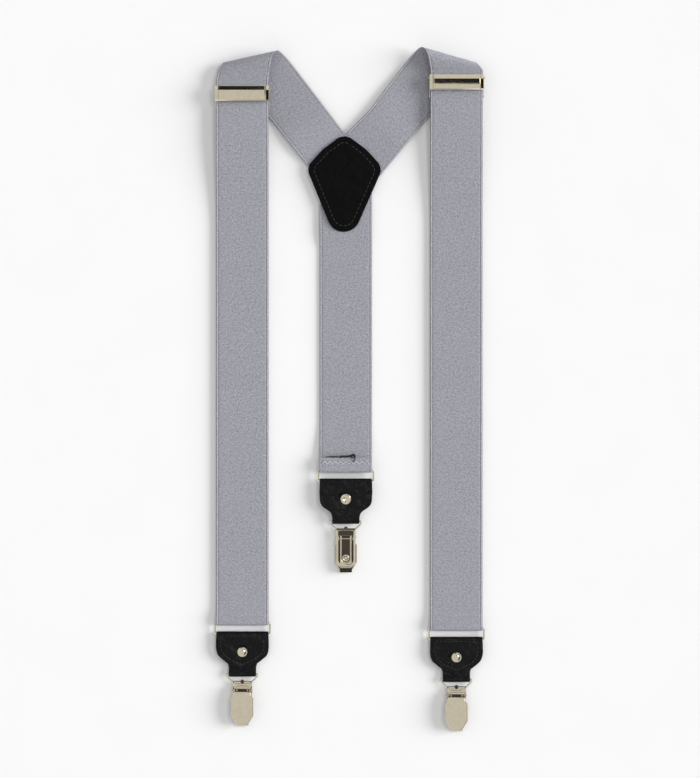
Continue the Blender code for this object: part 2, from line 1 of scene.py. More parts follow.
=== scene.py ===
"""The looks of Y-back clip-on suspenders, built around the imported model's bodies.

Every length below is in millimetres, and `metres` turns a place into the frame's metres. The
places repeat the CAD source's, whose outline was centred by moving it by CENTRE.
"""

import json
import math
import random

import bmesh
import bpy
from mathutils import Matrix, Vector

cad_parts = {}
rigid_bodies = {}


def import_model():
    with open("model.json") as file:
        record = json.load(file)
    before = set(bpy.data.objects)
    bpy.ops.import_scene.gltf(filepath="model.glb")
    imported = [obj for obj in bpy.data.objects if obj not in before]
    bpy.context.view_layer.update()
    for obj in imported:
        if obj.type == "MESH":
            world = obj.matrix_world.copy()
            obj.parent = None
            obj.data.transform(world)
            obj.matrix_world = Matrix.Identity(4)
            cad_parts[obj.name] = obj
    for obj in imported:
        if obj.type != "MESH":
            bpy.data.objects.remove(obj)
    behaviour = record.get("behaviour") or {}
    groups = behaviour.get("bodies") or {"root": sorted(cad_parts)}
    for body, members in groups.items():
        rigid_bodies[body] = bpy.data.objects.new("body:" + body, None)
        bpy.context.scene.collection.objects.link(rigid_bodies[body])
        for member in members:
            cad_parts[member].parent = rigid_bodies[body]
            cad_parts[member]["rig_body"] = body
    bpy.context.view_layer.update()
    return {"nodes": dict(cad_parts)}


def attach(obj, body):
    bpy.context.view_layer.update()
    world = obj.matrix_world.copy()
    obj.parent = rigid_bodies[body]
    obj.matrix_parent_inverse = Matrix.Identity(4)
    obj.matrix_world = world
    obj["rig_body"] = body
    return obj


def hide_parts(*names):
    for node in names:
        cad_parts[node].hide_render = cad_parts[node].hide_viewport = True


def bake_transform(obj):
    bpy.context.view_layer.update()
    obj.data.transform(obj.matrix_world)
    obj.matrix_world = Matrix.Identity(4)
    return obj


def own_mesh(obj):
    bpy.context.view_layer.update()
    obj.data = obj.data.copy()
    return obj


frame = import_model()

MM = 0.001
CENTRE = Vector((-0.85, -0.84, 0.0))

# Webbing
STRAP_WIDTH = 34.8
STRAP_HALF = STRAP_WIDTH / 2
STRAP_THICK = 1.2
STRAP_WRAP = 1.35
RING_WIRE = 0.6
RING_HALF = STRAP_HALF + 0.3 + RING_WIRE
RING_DROP = 7.6
LOOP_LENGTH = 14.0

# Leather tabs and clips, measured down from the ring's upper bar
LEATHER = 1.1
TAB_WRAP = 1.25
TAB_HALF = 17.4
NECK_HALF = 9.1
FRONT_SHOULDER_RISE = 1.6
TAB_FACE_END = 32.0
CLIP_BAR = 34.25
RIVET_AT = 19.5
CLIP_PIVOT = CLIP_BAR + 10.5
PIVOT = (CLIP_PIVOT, 2.2)  # how far down and how far out
PIN_RADIUS = 0.5
EYELET_AT = CLIP_BAR + 24.5
COVER_TOP = 4.1
SHIELD_CENTRE = Vector((0, 16))

# Adjusters, measured up from the middle of the cover
ADJUSTER_BAR = -9.0
UPPER_SEAM = 8.3
LOWER_SEAM = -12.0
COVER_EDGE = 5.4
COVER_HINGE = 2.75
CLIMB_ENDS = 13.0

# Heights of the middles of the layers
BACK_RING_Z = 4.15
RING_Z = 2.4
RETURN_Z = 0.6
FRONT_Z = 2.0
RAISED_RETURN_Z = 2.2
RAISED_FRONT_Z = 6.2
BAR_Z = RAISED_RETURN_Z + STRAP_WRAP
UNDER_Z = 0.75
YOKE_Z = 2.05
RISE_START = 105.0

# The back strap and the yoke patch
BACK_X = -3.2
BACK_STRAP_TOP = 138.2
BACK_STRAP_END = -54.25
BACK_TAIL_END = -46.2
TAIL_TOP = BACK_RING_Z + STRAP_WRAP + STRAP_THICK / 2 - 0.42
YOKE_NOTCH = (-3.2, 168.6)
YOKE_CENTRE_X = -4.1
YOKE_TOP = 167.6
YOKE_BOTTOM = 104.0
YOKE_SIDE_Y = 145.2
YOKE_HALF = 24.1

# Where each front strap's middle, adjuster and ring are, and the edges of its shoulder turn:
# the corner and apex at its top, where the outer edge comes out from under the front strap,
# and where it goes in under the yoke patch and meets the back strap
SIDES = {
    "left": dict(
        x=-72.1, sign=1, adjuster=195.7, ring=-156.05, meets=-20.95,
        corner=(-85.0, 216.0), apex=(-48.6, 223.6), emerges=(-54.1, 180.1), enters=(-29.0, 148.7),
    ),
    "right": dict(
        x=70.4, sign=-1, adjuster=203.2, ring=-159.65, meets=17.2,
        corner=(82.6, 216.3), apex=(47.1, 225.9), emerges=(51.7, 180.1), enters=(20.6, 142.7),
    ),
}

NICKEL = (0.79, 0.715, 0.55)
YOKE_BLACK = (0.0012, 0.0010, 0.0011)
TAB_BLACK = (0.0016, 0.0014, 0.0015)
STAMPED_SHARP = 30
STITCH_REACH = 0.36


def metres(point):
    return (Vector(point) - CENTRE) * MM


# ---- curves


def smoothstep(share):
    share = min(max(share, 0.0), 1.0)
    return share * share * (3 - 2 * share)


def through(points, per_span):
    """A Catmull-Rom curve through the points, with per_span steps between each two."""
    points = [Vector(p) for p in points]
    padded = [2 * points[0] - points[1], *points, 2 * points[-1] - points[-2]]
    curve = []
    for a, b, c, d in zip(padded, padded[1:], padded[2:], padded[3:]):
        for step in range(per_span):
            t = step / per_span
            bend = (2 * a - 5 * b + 4 * c - d) * t * t + (3 * b - a - 3 * c + d) * t**3
            curve.append(0.5 * (2 * b + (c - a) * t + bend))
    return [*curve, points[-1]]


def turn(centre, radius, start, end, steps):
    """Points on an arc about centre, with its angles in degrees."""
    x, y = centre
    angles = [math.radians(angle) for angle in spaced(start, end, steps)]
    return [(x + radius * math.cos(a), y + radius * math.sin(a)) for a in angles]


def circle(centre, radius, sides):
    return turn(centre, radius, 0, 360, sides)[:-1]


def spaced(start, end, steps):
    return [start + (end - start) * n / steps for n in range(steps + 1)]


def heading_at(points, n, closed=False):
    """The way from the point before the nth to the one after it."""
    last = len(points) - 1
    before = points[n - 1] if closed or n else points[0]
    after = points[(n + 1) % len(points)] if closed or n < last else points[last]
    return Vector(after) - Vector(before)


def drawn_in(line, inset, centre, closed=False):
    """The line moved by inset towards the centre that it goes round."""
    moved = []
    for n, here in enumerate(line):
        heading = heading_at(line, n, closed)
        inward = Vector((-heading.y, heading.x)).normalized()
        if inward.dot(centre - Vector(here)) < 0:
            inward = -inward
        moved.append(Vector(here) + inward * inset)
    return moved


def hump(distance, reach):
    """1 at no distance, and almost nothing at twice the reach."""
    return math.exp(-((distance / reach) ** 2))


def along_path(points, spacing):
    """Points at even spacing along a line of 2D points."""
    points = [Vector(p) for p in points]
    found, carried = [], 0.0
    for a, b in zip(points, points[1:]):
        span = (b - a).length
        while carried < span:
            found.append(a + (b - a) * (carried / span))
            carried += spacing
        carried -= span
    return found


# ---- materials


def new_material(name, numbers):
    """A plain material with its shader's named sockets set to their numbers."""
    made = bpy.data.materials.new(name)
    made.use_nodes = True
    shader = made.node_tree.nodes["Principled BSDF"]
    for socket, number in numbers.items():
        shader.inputs[socket].default_value = number
    return made, shader


def drive(node, socket, output):
    """Links another node's output to the node's socket."""
    node.id_data.links.new(output, node.inputs[socket])


def new_node(kind, given, **settings):
    """A node with numbers and outputs given to its sockets, in the tree of those outputs."""
    outputs = [value for value in given.values() if isinstance(value, bpy.types.NodeSocket)]
    node = outputs[0].id_data.nodes.new("ShaderNode" + kind)
    for setting, value in settings.items():
        setattr(node, setting, value)
    for socket, value in given.items():
        if value in outputs:
            drive(node, socket, value)
        else:
            node.inputs[socket].default_value = value
    return node


def math_node(operation, *given):
    return new_node("Math", dict(enumerate(given)), operation=operation).outputs[0]


def times(first, second):
    return math_node("MULTIPLY", first, second)


def plus(first, second):
    return math_node("ADD", first, second)


def ridges(value):
    """Rounded ridges, one between each two whole numbers."""
    return math_node("ABSOLUTE", math_node("SINE", times(value, math.pi)))


def joined_vector(*given):
    return new_node("CombineXYZ", dict(enumerate(given))).outputs[0]


def split_vector(vector):
    return new_node("SeparateXYZ", {0: vector}).outputs


def noise(vector, scale, detail=2.0, distortion=0.0):
    given = {"Vector": vector, "Scale": scale, "Detail": detail, "Distortion": distortion}
    return new_node("TexNoise", given).outputs["Fac"]


def ramp(factor, stops):
    """A colour ramp through (place, colour) stops."""
    node = new_node("ValToRGB", {0: factor})
    elements = node.color_ramp.elements
    while len(elements) < len(stops):
        elements.new(1.0)
    for element, (place, colour) in zip(elements, stops):
        element.position = place
        element.color = (*colour, 1.0)
    return node.outputs["Color"]


def remap(factor, low, high):
    """The factor, from 0 to 1, moved to run from low to high."""
    return new_node("MapRange", {"Value": factor, "To Min": low, "To Max": high}).outputs[0]


def scaled(vector, factor):
    """A vector or colour times a number or another node's output."""
    return new_node("VectorMath", {0: vector, "Scale": factor}, operation="SCALE").outputs[0]


def bump(shader, height, distance, strength=1.0, under=None):
    given = {"Height": height, "Distance": distance * MM, "Strength": strength}
    if under:
        given["Normal"] = under
    normal = new_node("Bump", given).outputs[0]
    drive(shader, "Normal", normal)
    return normal


def object_place(shader):
    """Places on the piece in millimetres."""
    coordinates = shader.id_data.nodes.new("ShaderNodeTexCoord")
    return scaled(coordinates.outputs["Object"], 1 / MM)


def webbing_material(name, level):
    """Knitted elastic with fancy selvedges. On level straps, the weave keeps its own size as
    the strap gets longer or shorter; on turned ones, it follows the strap round."""
    numbers = {"Roughness": 0.88, "Sheen Weight": 0.12, "Sheen Roughness": 0.5}
    made, shader = new_material(name, {**numbers, "Specular IOR Level": 0.25})
    weave_map = shader.id_data.nodes.new("ShaderNodeUVMap")
    weave_map.uv_map = "weave"
    on_strap = split_vector(weave_map.outputs[0])
    across = math_node("DIVIDE", on_strap[0], MM)
    if level:
        along = split_vector(object_place(shader))[1]
    else:
        along = math_node("DIVIDE", on_strap[1], MM)

    # Short floats in columns, each column half a float on from the one before it
    column_pitch, float_pitch = 0.58, 1.15
    column = math_node("DIVIDE", across, column_pitch)
    odd = math_node("MODULO", math_node("FLOOR", column), 2.0)
    row = plus(math_node("DIVIDE", along, float_pitch), times(odd, 0.5))
    height = times(ridges(column), ridges(row))

    # Uneven yarn: leaning blotches, fine fibres and a slow drift in tone
    lean, narrowed = 0.35, 0.8
    flat_place = joined_vector(across, along, 0.0)
    leaning = plus(along, times(across, lean))
    stretched = joined_vector(times(across, narrowed), leaning, 0.0)
    blotches = noise(stretched, 0.85, distortion=0.4)
    fibres = noise(flat_place, 1.25, detail=3.0)
    drift = noise(flat_place, 0.03)
    spread = plus(remap(blotches, -0.42, 0.46), remap(fibres, -0.58, 0.62))
    spread = plus(spread, remap(drift, -0.04, 0.04))
    # The weave's hollows are painted darker than its floats: painted shade, with the yarn's uneven tone
    # added on
    shade = plus(remap(height, 0.90, 1.05), spread)

    # From the edge inwards: a dark rim, a pale cord, a dark groove and the body
    border_width = 4.0
    border_colours = [
        (0.0, (0.21, 0.19, 0.23)),
        (0.07, (0.25, 0.235, 0.275)),
        (0.12, (0.44, 0.44, 0.475)),
        (0.23, (0.46, 0.46, 0.49)),
        (0.31, (0.235, 0.225, 0.265)),
        (0.41, (0.25, 0.245, 0.285)),
        (0.47, (0.37, 0.375, 0.405)),
        (0.56, (0.328, 0.331, 0.368)),
    ]
    from_other_edge = math_node("SUBTRACT", STRAP_WIDTH, across)
    from_edge = math_node("MINIMUM", across, from_other_edge)
    border = math_node("DIVIDE", from_edge, border_width)
    colour = ramp(border, border_colours)
    drive(shader, "Base Color", scaled(colour, shade))
    bump(shader, plus(height, times(fibres, 0.9)), 0.16, 0.8)
    return made


def leather_material(name, colour, roughness, grain, gloss):
    """Black leather: pebbled cells, soft creases, and a duller, paler wear here and there."""
    numbers = {"Roughness": roughness, "Specular IOR Level": gloss}
    made, shader = new_material(name, numbers)
    place = object_place(shader)
    cells = new_node("TexVoronoi", {"Vector": place, "Scale": 1.5})
    clouds = noise(place, 0.16, detail=4.0)
    pores = noise(place, 2.6, detail=3.0)
    dark, pale = [tuple(c * share for c in colour) for share in (0.75, 1.5)]
    drive(shader, "Base Color", ramp(clouds, [(0.35, dark), (0.75, pale)]))
    wear = remap(clouds, roughness - 0.08, roughness + 0.08)
    rough = plus(wear, remap(pores, -0.05, 0.05))
    drive(shader, "Roughness", rough)
    relief = plus(cells.outputs["Distance"], pores)
    creased = bump(shader, clouds, 2.2, 0.8)
    bump(shader, relief, 0.12, grain, under=creased)
    return made


def metal_material(name, colour, low, high, ripple=0.0):
    """Plated steel: fine wipe marks in the gloss, and a slight ripple in the stamping."""
    made, shader = new_material(name, {"Roughness": low, "Metallic": 1.0})
    shader.inputs["Base Color"].default_value = (*colour, 1.0)
    place = object_place(shader)
    x, y, z = split_vector(place)
    wiped = joined_vector(times(x, 0.25), times(y, 2.5), z)
    marks = noise(wiped, 1.6, detail=4.0)
    drive(shader, "Roughness", remap(marks, low, high))
    tone = noise(place, 0.35, detail=3.0)
    paler = tuple(min(1.0, c * 1.03) for c in colour)
    darker = tuple(c * 0.96 for c in colour)
    drive(shader, "Base Color", ramp(tone, [(0.3, darker), (0.7, paler)]))
    under = None
    if ripple:
        under = bump(shader, noise(place, 0.12, detail=1.0), ripple)
    bump(shader, marks, 0.006, under=under)
    return made


def thread_material(name, colour):
    """Twisted sewing thread, with the grooves of its twist painted darker: painted shade."""
    made, shader = new_material(name, {"Roughness": 0.6, "Sheen Weight": 0.2})
    given = {"Vector": object_place(shader), "Scale": 1.4, "Distortion": 1.0}
    twist = new_node("TexWave", given, bands_direction="DIAGONAL").outputs["Fac"]
    # Painted shade: the twist's grooves, which are low in the bump, are darker
    shades = [(0.2, tuple(c * 0.7 for c in colour)), (0.8, colour)]
    drive(shader, "Base Color", ramp(twist, shades))
    bump(shader, twist, 0.05)
    return made


# Each look with the slot that it belongs to
looks = {
    "webbing_level": ("webbing", webbing_material("elastic_webbing_level", True)),
    "webbing_turned": ("webbing", webbing_material("elastic_webbing_turned", False)),
    "yoke_leather": ("leather", leather_material("matte_black_leather", YOKE_BLACK, 0.45, 0.45, 0.09)),
    "tab_leather": ("leather", leather_material("smooth_black_leather", TAB_BLACK, 0.30, 0.3, 0.2)),
    "nickel": ("nickel", metal_material("polished_nickel", NICKEL, 0.09, 0.18)),
    "cover_nickel": ("nickel", metal_material("stamped_nickel", NICKEL, 0.04, 0.09, 0.03)),
    # Dark steel for the clip pin, also used as painted shade on the hinge plate and inside the lever
    "dark_steel_and_painted_shade": ("nickel", metal_material("unplated_steel_and_painted_shade", (0.085, 0.07, 0.055), 0.4, 0.55)),
    "grip": ("grip", leather_material("dark_grip", (0.014, 0.011, 0.008), 0.5, 0.6, 0.3)),
    "black_thread": ("leather", thread_material("black_thread", (0.019, 0.017, 0.016))),
    "loose_thread_and_painted_shadow": ("webbing", thread_material("loose_black_thread_and_painted_shadow", (0.006, 0.006, 0.007))),
    "pale_thread": ("webbing", thread_material("pale_thread", (0.74, 0.74, 0.78))),
}


# ---- meshes


def in_scene(name, data):
    made = bpy.data.objects.new(name, data)
    bpy.context.scene.collection.objects.link(made)
    return made


def piece(name, mesh, look, body=None, sharp=40):
    """A finished bmesh as an object that rides on the body, if one is given. Edges bent by
    more than sharp degrees stay sharp, and a stamping's flats are shaded flat."""
    bmesh.ops.recalc_face_normals(mesh, faces=mesh.faces)
    data = bpy.data.meshes.new(name)
    mesh.to_mesh(data)
    mesh.free()
    data.shade_smooth()
    data.set_sharp_from_angle(angle=math.radians(sharp))
    slot, material = looks[look]
    data.materials.append(material)
    made = in_scene(name, data)
    if slot == "nickel" and sharp <= STAMPED_SHARP:
        even = made.modifiers.new("Even shading", "WEIGHTED_NORMAL")
        even.keep_sharp = True
    if body:
        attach(made, body)
    return made


def bridge(mesh, near, far):
    """Faces between two rims of as many vertices each."""
    faces = []
    for n in range(len(near)):
        after = (n + 1) % len(near)
        faces.append(mesh.faces.new((near[n], near[after], far[after], far[n])))
    return faces


def skin(mesh, rims, place=Vector, closed=False):
    """Joins rims of as many corners each; the ends are capped unless it is closed."""
    rows = [[mesh.verts.new(metres(place(corner))) for corner in rim] for rim in rims]
    for near, far in zip(rows, rows[1:] + (rows[:1] if closed else [])):
        bridge(mesh, near, far)
    if not closed:
        mesh.faces.new(rows[0])
        mesh.faces.new(rows[-1])


def turned(mesh, profile, centre, place, sides=40, closed=False):
    """A (radius, level) profile turned round an axis along w."""
    rims = [[(*p, level) for p in circle(centre, radius, sides)] for radius, level in profile]
    skin(mesh, rims, place, closed)


def tube(mesh, points, radius, place=Vector, closed=False, sides=12):
    """A round wire along points, drawn in at its open ends."""
    points = [Vector(p) for p in points]
    rims = []
    out = Vector((0, 0, 1))
    ends, end_share = (0, len(points) - 1), 0.55
    for n, here in enumerate(points):
        heading = heading_at(points, n, closed).normalized()
        side = heading.cross(out).normalized()
        up = side.cross(heading).normalized()
        size = radius * (end_share if not closed and n in ends else 1.0)
        unit = circle((0, 0), 1.0, sides)
        rims.append([here + side * (a * size) + up * (b * size) for a, b in unit])
    skin(mesh, rims, place, closed)


def stitch(mesh, start, end, radius, sink, place=Vector):
    """One stitch of thread, which dips into the leather or cloth at both ends."""
    start, end = Vector(start), Vector(end)
    points = []
    for share in (0.0, 0.12, 0.3, 0.5, 0.7, 0.88, 1.0):
        arch = 1.0 - (2 * share - 1) ** 4
        points.append(start + (end - start) * share + Vector((0, 0, sink * (arch - 1.0))))
    tube(mesh, points, radius, place, sides=8)


def sewn(mesh, spots, radius, sink, level, place=Vector):
    """Stitches in a row at the level, each round the middle between two spots."""
    for here, after in zip(spots, spots[1:]):
        reach = (after - here) * STITCH_REACH
        middle = (here + after) / 2
        stitch(mesh, (*(middle - reach), level), (*(middle + reach), level), radius, sink, place)


# ---- webbing


def strap_section():
    """(across, height) round the webbing: a rolled edge, a thread, a groove and the body."""
    edge = [(0.0, 0.0), (0.05, 0.28), (0.22, 0.48), (0.5, 0.60), (0.85, 0.60), (1.1, 0.52)]
    edge += [(1.35, 0.42), (1.6, 0.42), (1.85, 0.50), (2.3, 0.55), (3.2, 0.56)]
    body = [(across, 0.56) for across in spaced(6.0, STRAP_WIDTH - 6.0, 6)]
    top = edge + body + [(STRAP_WIDTH - across, height) for across, height in reversed(edge)]
    return top + [(across, -height) for across, height in reversed(top[1:-1])]


SECTION = strap_section()


def webbing(name, first, second, look, along_start=0.0, body=None):
    """Webbing between two edge curves. The weave map holds metres across and along it."""
    first = [Vector(p) for p in first]
    second = [Vector(p) for p in second]
    middles = [(a + b) / 2 for a, b in zip(first, second)]
    mesh = bmesh.new()
    weave = mesh.loops.layers.uv.new("weave")
    rows, along = [], along_start
    for n, middle in enumerate(middles):
        span = second[n] - first[n]
        lift = heading_at(middles, n).cross(span).normalized()
        if n:
            along -= (middle - middles[n - 1]).length
        corners = [first[n] + span * (a / STRAP_WIDTH) + lift * h for a, h in SECTION]
        rows.append(([mesh.verts.new(metres(corner)) for corner in corners], along))
    for (near, near_along), (far, far_along) in zip(rows, rows[1:]):
        for n, face in enumerate(bridge(mesh, near, far)):
            a, b = SECTION[n][0], SECTION[(n + 1) % len(SECTION)][0]
            corners = ((a, near_along), (b, near_along), (b, far_along), (a, far_along))
            for loop, (across, distance) in zip(face.loops, corners):
                loop[weave].uv = (across * MM, distance * MM)
    for row, _ in (rows[0], rows[-1]):
        mesh.faces.new(row)
    made = piece(name, mesh, look, body, sharp=50)
    return made, along_start - along


def level_webbing(name, centre_x, path, look, body=None):
    """Webbing with level edges along (y, z) points, from its far end to its near one."""
    first = [(centre_x - STRAP_HALF, y, z) for y, z in path]
    second = [(centre_x + STRAP_HALF, y, z) for y, z in path]
    return webbing(name, first, second, look, path[0][0], body)


def shoulder(name, side):
    """From above the adjuster, over the shoulder turn and down the slant to the yoke."""
    x, sign = side["x"], side["sign"]
    start = side["adjuster"] + UPPER_SEAM
    corner, apex = Vector(side["corner"]), Vector(side["apex"])
    emerges, enters = Vector(side["emerges"]), Vector(side["enters"])
    behind = emerges - (enters - emerges).normalized() * 30.0

    def by(point, inward, along, z):
        """A place beside the point, so much nearer the middle line and along y."""
        return (point.x + sign * inward, point.y + along, z)

    outer = [
        (x - sign * STRAP_HALF, start, RAISED_FRONT_Z),
        (corner.x - sign * 2.9, start + (corner.y - start) * 0.6, RAISED_FRONT_Z - 0.2),
        by(corner, 0.0, 0.0, 4.1),
        by(corner, 2.0, -1.9, 1.3),
        (*behind, UNDER_Z),
        (*emerges, UNDER_Z),
        (*((emerges + enters) / 2), UNDER_Z + 2.2),
        (*enters, YOKE_Z),
    ]
    inner = [
        (x + sign * STRAP_HALF, start, RAISED_FRONT_Z),
        by(apex, -3.6, -4.4, 12.0),
        by(apex, 0.0, 0.0, 9.4),
        by(apex, 4.0, -2.0, 5.2),
        by(apex, 10.0, -8.6, 2.0),
        by(apex, 21.0, -23.0, 2.6),
        by(apex, 34.0, -40.0, UNDER_Z + 2.2),
        (YOKE_NOTCH[0] - sign * 2.5, YOKE_NOTCH[1] + 3.3, YOKE_Z),
    ]
    seam_x = YOKE_NOTCH[0] - sign * 0.15
    meets_y = BACK_STRAP_TOP + 0.3
    outer = [*through(outer, 14), (side["meets"], meets_y, YOKE_Z), (seam_x, meets_y, YOKE_Z)]
    notch = (seam_x, YOKE_NOTCH[1], YOKE_Z)
    between = (seam_x - sign * 1.0, YOKE_NOTCH[1] + 1.3, YOKE_Z)
    inner = [*through(inner, 14), between, notch]
    first, second = (outer, inner) if sign > 0 else (inner, outer)
    made, length = webbing(f"{name}_shoulder_webbing", first, second, "webbing_turned", start, "root")
    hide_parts(f"{name}_shoulder_strap")


def climbing(y, bar_y, low, high):
    """The height of a layer that climbs from low to high below the adjuster's bar."""
    share = smoothstep((y - RISE_START) / (bar_y - CLIMB_ENDS - RISE_START))
    return low + (high - low) * share


def shortened(made, name, anchor_y):
    """The piece rides on the strap's ring end, with a mesh of its own."""
    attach(made, f"{name}_strap_end")
    x = SIDES[name]["x"]
    metres((x, anchor_y, FRONT_Z))
    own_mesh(made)


def front_straps(name, side):
    """From the shoulder seam through the adjuster and down round the ring, then back up behind to the
    adjuster's bar."""
    x, adjuster, ring_y = side["x"], side["adjuster"], side["ring"]
    slider, strap_end = f"{name}_slider", f"{name}_strap_end"
    bar_y = adjuster + ADJUSTER_BAR
    low = ring_y + LOOP_LENGTH
    lower_seam = adjuster + LOWER_SEAM

    upper = [(y, RAISED_FRONT_Z) for y in spaced(adjuster + UPPER_SEAM, adjuster + COVER_EDGE, 40)]
    # The strap gives way where the open cover's upper rim presses on it
    dip, dip_reach = 0.52, 1.3
    for y in spaced(adjuster + COVER_EDGE, adjuster, 16)[1:]:
        pressed = dip * hump(y - adjuster - COVER_HINGE, dip_reach)
        upper.append((y, RAISED_FRONT_Z - pressed))
    made, length = level_webbing(f"{name}_upper_webbing", x, upper, "webbing_level")
    metres((x, adjuster + UPPER_SEAM - 0.1, RAISED_FRONT_Z))
    metres((x, adjuster + COVER_EDGE, RAISED_FRONT_Z))
    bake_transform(made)

    clamped = [(y, RAISED_FRONT_Z) for y in spaced(adjuster, lower_seam, 6)]
    level_webbing(f"{name}_clamped_webbing", x, clamped, "webbing_level", slider)

    front = [(y, climbing(y, bar_y, FRONT_Z, RAISED_FRONT_Z)) for y in spaced(lower_seam, low, 110)]
    front_piece, length = level_webbing(f"{name}_front_webbing", x, front, "webbing_level")
    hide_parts(f"{name}_front_strap")
    shortened(front_piece, name, low)

    seam = bar_y - 2.0
    back = [(y, climbing(y, bar_y, RETURN_Z, RAISED_RETURN_Z)) for y in spaced(seam, low, 90)]
    back_piece, length = level_webbing(f"{name}_return_webbing", x, back, "webbing_level")
    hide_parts(f"{name}_return_strap")
    shortened(back_piece, name, low)

    wrap = [(bar_y - 4.2, BAR_Z + STRAP_WRAP - 0.3), (bar_y - 2.1, BAR_Z + STRAP_WRAP - 0.1)]
    wrap += turn((bar_y, BAR_Z), STRAP_WRAP, 90, -90, 16)
    wrap.append(back[0])
    level_webbing(f"{name}_bar_webbing", x, wrap, "webbing_turned", slider)

    loop = [(low, FRONT_Z), (low - 5.0, FRONT_Z + 0.35), (ring_y + 3.0, RING_Z + STRAP_WRAP)]
    loop = [tuple(p) for p in through(loop, 8)]
    loop += turn((ring_y, RING_Z), STRAP_WRAP, 90, 270, 20)
    loop += [(ring_y + 5.0, RETURN_Z + 0.2), (low, RETURN_Z)]
    made, length = level_webbing(f"{name}_loop_webbing", x, loop, "webbing_turned", strap_end)
    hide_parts(f"{name}_strap_loop")


def back_strap():
    """From the yoke down to the back ring, round its bar, with its tail stitched on top."""
    settled, lifts = 92.0, -20.0
    lower_z = BACK_RING_Z - STRAP_WRAP
    path = []
    for y in spaced(BACK_STRAP_TOP, BACK_STRAP_END, 96):
        z = RETURN_Z + (YOKE_Z - RETURN_Z) * smoothstep((y - settled) / 12.0)
        z += (lower_z - RETURN_Z) * smoothstep((lifts - y) / (lifts - BACK_STRAP_END))
        path.append((y, z))
    path += turn((BACK_STRAP_END, BACK_RING_Z), STRAP_WRAP, 270, 90, 20)[1:]
    tail = [path[-1], (BACK_STRAP_END + 4.0, BACK_RING_Z + STRAP_WRAP - 0.35)]
    tail.append((BACK_TAIL_END, BACK_RING_Z + STRAP_WRAP - 0.55))
    path += [tuple(p) for p in through(tail, 8)][1:]
    made, length = level_webbing("back_webbing", BACK_X, path, "webbing_turned", "root")
    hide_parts("back_strap")


def tail_stitching():
    """A pale zigzag across the back strap's tail."""
    mesh = bmesh.new()
    margin, pitch, reach = 1.6, 1.7, 0.95
    middle_y = BACK_TAIL_END - 3.4
    level = TAIL_TOP + 0.25
    turns = int((STRAP_WIDTH - 2 * margin) / pitch)
    corners = []
    for n, x in enumerate(spaced(-STRAP_HALF + margin, STRAP_HALF - margin, turns)):
        corners.append((BACK_X + x, middle_y + (reach if n % 2 else -reach), level))
    for start, end in zip(corners, corners[1:]):
        stitch(mesh, start, end, 0.24, 0.35)
    piece("back_tail_stitching", mesh, "pale_thread", "root")


def tail_thread():
    """The loose black thread along the tail's cut edge. A thicker black strand beside part of it, and a
    row of short black strands along the edge, are painted shadow where the cut edge lifts. Its places
    are (x from the middle, y past the edge, lift)."""
    mesh = bmesh.new()
    edge = BACK_TAIL_END + 0.35
    line = [(-13.6, 0.0, 0.1), (-9.0, 0.45, 0.3), (-4.0, 0.15, 0.35), (1.5, 0.3, 0.3)]
    line += [(4.8, 1.4, 0.7), (6.4, 0.6, 0.8), (5.0, -0.4, 0.7), (2.6, 0.4, 0.5)]
    line += [(5.6, 0.7, 0.9), (5.9, -1.6, 0.8), (4.6, -3.3, 0.45)]
    path = [(BACK_X + x, edge + past, TAIL_TOP - 0.15 + lift) for x, past, lift in line]
    tube(mesh, through(path, 8), 0.3, sides=8)
    # Painted shadow: a thicker black strand beside the thread, in the gap where the cut edge lifts
    painted_shadow_strand = [(x, y + 0.55, z) for x, y, z in path[2:6]]
    tube(mesh, through(painted_shadow_strand, 8), 0.4, sides=8)
    # Painted shadow: short black strands in a row along the lifted cut edge
    painted_shadow_random = random.Random(5)
    for n in range(34):
        x = BACK_X - 12.0 + n * 0.52 + painted_shadow_random.uniform(-0.2, 0.2)
        y = edge + painted_shadow_random.uniform(-0.25, 0.35 + 0.02 * n)
        start = (x, y, TAIL_TOP - 0.3)
        end = (x + painted_shadow_random.uniform(0.8, 1.8), y + painted_shadow_random.uniform(-0.2, 0.5), TAIL_TOP - 0.05)
        stitch(mesh, start, end, 0.2, 0.1)
    piece("back_tail_thread_and_painted_shadow", mesh, "loose_thread_and_painted_shadow", "root")


# ---- leather


def round_hull(circles, steps=10):
    """The outline stretched round circles, each an (x, y, radius), listed anticlockwise."""
    normals = []
    for (x, y, radius), (next_x, next_y, next_radius) in zip(circles, circles[1:] + circles[:1]):
        span = math.hypot(next_x - x, next_y - y)
        heading = math.degrees(math.atan2(next_y - y, next_x - x))
        lean = math.degrees(math.asin((radius - next_radius) / span))
        normals.append(heading - 90.0 + lean)
    outline = []
    for (x, y, radius), start, end in zip(circles, normals[-1:] + normals[:-1], normals):
        sweep = (end - start) % 360.0
        outline += turn((x, y), radius, start, start + sweep, steps)
    return outline


def subdivided(outline, longest=1.6):
    """The closed outline with its long spans cut up."""
    points = []
    for a, b in zip(outline, outline[1:] + outline[:1]):
        a, b = Vector(a), Vector(b)
        steps = max(1, round((b - a).length / longest))
        points += [tuple(a + (b - a) * (n / steps)) for n in range(steps)]
    return points


